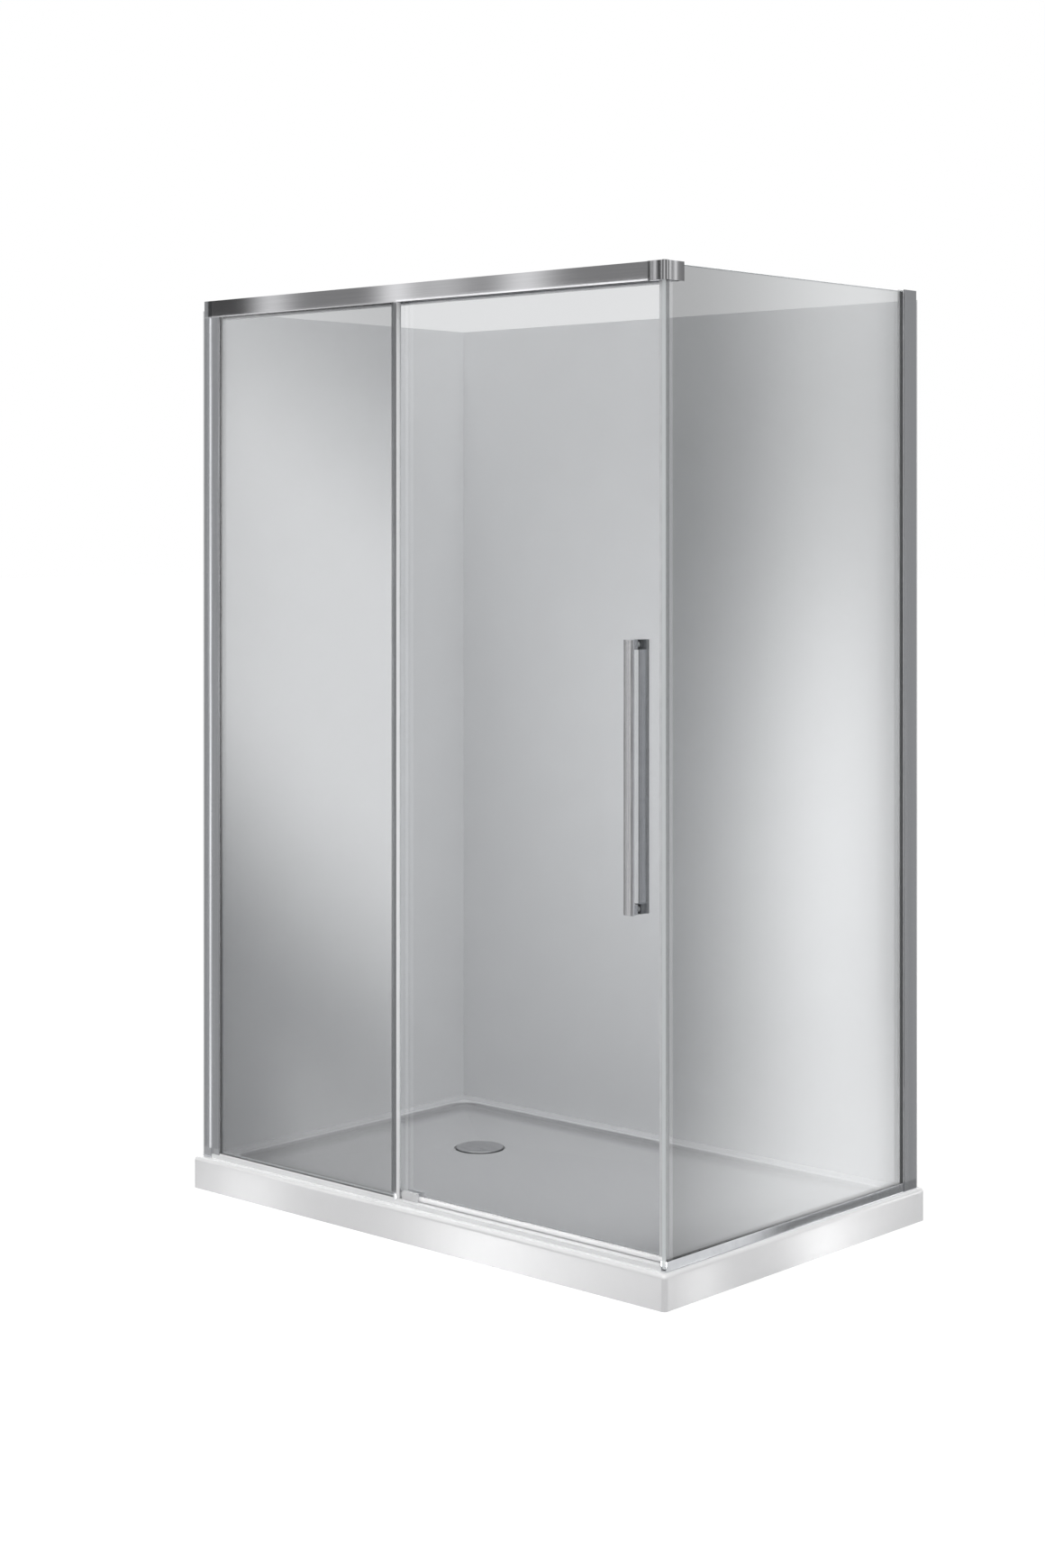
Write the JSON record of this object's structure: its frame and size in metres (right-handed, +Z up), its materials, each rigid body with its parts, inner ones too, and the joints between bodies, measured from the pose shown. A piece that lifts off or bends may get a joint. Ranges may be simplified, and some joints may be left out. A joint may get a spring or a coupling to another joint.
{
  "type": "shower enclosure with sliding door",
  "caption": "Corner shower enclosure: low tray with waste, fixed front pane, sliding glass door hung from a header rail on rollers, return pane, wall jambs, wall liners and a bar handle.",
  "frame": {"origin": "centre of the tray's footprint, on the floor", "axes": "+Z up; +X along the front from the left wall to the open corner; -Y out of the front, towards a person facing the door"},
  "size_m": [1.4, 0.9, 2.04],
  "materials": {
    "tray_acrylic": "white gloss, cast",
    "liner_sheet": "pale grey satin wall sheet",
    "polished_metal": "polished",
    "satin_aluminium": "satin",
    "clear_glass": "clear, toughened, polished arris",
    "return_glass": "clear, toughened, polished arris",
    "clear_seal": "clear soft vinyl",
    "white_seal": "white, satin",
    "grey_rubber": "matt",
    "grey_plastic": "pale grey, satin",
    "waste_plastic": "dark grey, moulded",
    "cover_metal": "brushed",
    "steel": "plain",
    "nylon": "off-white nylon"
  },
  "bodies": {
    "enclosure": {"shower_tray": "tray_acrylic", "wall_liner_left": "liner_sheet", "wall_liner_back": "liner_sheet", "wall_jamb_left": "satin_aluminium", "wall_jamb_right": "satin_aluminium", "glazing_profile_left": "satin_aluminium", "jamb_screws": "steel", "fixed_side_gasket": "grey_rubber", "header_rail": "polished_metal", "header_end_bracket": "satin_aluminium", "track_cover_strip": "white_seal", "corner_connector": "polished_metal", "connector_spigot": "satin_aluminium", "connector_screws": "steel", "header_screws": "steel", "fixed_panel_glass": "clear_glass", "fixed_edge_strip": "satin_aluminium", "fixed_edge_wiper": "clear_seal", "fixed_top_gasket": "grey_rubber", "fixed_bottom_beads": "white_seal", "threshold_rail": "satin_aluminium", "threshold_infill": "grey_plastic", "return_panel_glass": "return_glass", "return_bottom_channel": "satin_aluminium", "return_side_gaskets": "grey_rubber", "glass_setting_blocks": "grey_rubber", "door_guide_block": "grey_plastic", "track_stops": "grey_plastic", "track_stop_buffers": "grey_rubber", "waste_body": "waste_plastic", "waste_backnut": "waste_plastic", "waste_gasket_upper": "grey_rubber", "waste_gasket_under": "grey_rubber"},
    "door": {"door_glass": "clear_glass", "door_top_rail": "satin_aluminium", "hanger_plate_left": "steel", "hanger_plate_right": "steel", "hanger_screws": "steel", "roller_axles": "steel", "anti_lift_blocks": "grey_plastic", "handle_outer_bar": "polished_metal", "handle_inner_bar": "polished_metal", "handle_posts": "polished_metal", "handle_bolts": "steel", "handle_bushes": "nylon", "handle_washers": "grey_rubber", "door_bottom_seal": "white_seal", "door_leading_seal": "clear_seal", "door_trailing_seal": "clear_seal"},
    "wheel_1": {"roller_wheel_1": "nylon", "roller_bearing_1": "steel"},
    "wheel_2": {"roller_wheel_2": "nylon", "roller_bearing_2": "steel"},
    "wheel_3": {"roller_wheel_3": "nylon", "roller_bearing_3": "steel"},
    "wheel_4": {"roller_wheel_4": "nylon", "roller_bearing_4": "steel"},
    "drain_cover": {"waste_cover": "cover_metal", "hair_catcher": "waste_plastic"}
  },
  "joints": [
    {"name": "door_slide", "type": "slide", "parent": "enclosure", "child": "door", "axis": [-1, 0, 0], "range_m": [0, 0.54]},
    {"name": "wheel_1_spin", "type": "hinge", "parent": "door", "child": "wheel_1", "pos_m": [-0.008, -0.3955, 2.0175], "axis": [0, -1, 0], "continuous": true},
    {"name": "wheel_2_spin", "type": "hinge", "parent": "door", "child": "wheel_2", "pos_m": [0.048, -0.3955, 2.0175], "axis": [0, -1, 0], "continuous": true},
    {"name": "wheel_3_spin", "type": "hinge", "parent": "door", "child": "wheel_3", "pos_m": [0.542, -0.3955, 2.0175], "axis": [0, -1, 0], "continuous": true},
    {"name": "wheel_4_spin", "type": "hinge", "parent": "door", "child": "wheel_4", "pos_m": [0.598, -0.3955, 2.0175], "axis": [0, -1, 0], "continuous": true},
    {"name": "drain_cover_lift", "type": "slide", "parent": "enclosure", "child": "drain_cover", "axis": [0, 0, 1], "range_m": [0, 0.15]}
  ],
  "couplings": [
    {"joint": "wheel_1_spin", "follows": "door_slide", "rad_per_m": 100},
    {"joint": "wheel_2_spin", "follows": "door_slide", "rad_per_m": 100},
    {"joint": "wheel_3_spin", "follows": "door_slide", "rad_per_m": 100},
    {"joint": "wheel_4_spin", "follows": "door_slide", "rad_per_m": 100}
  ]
}
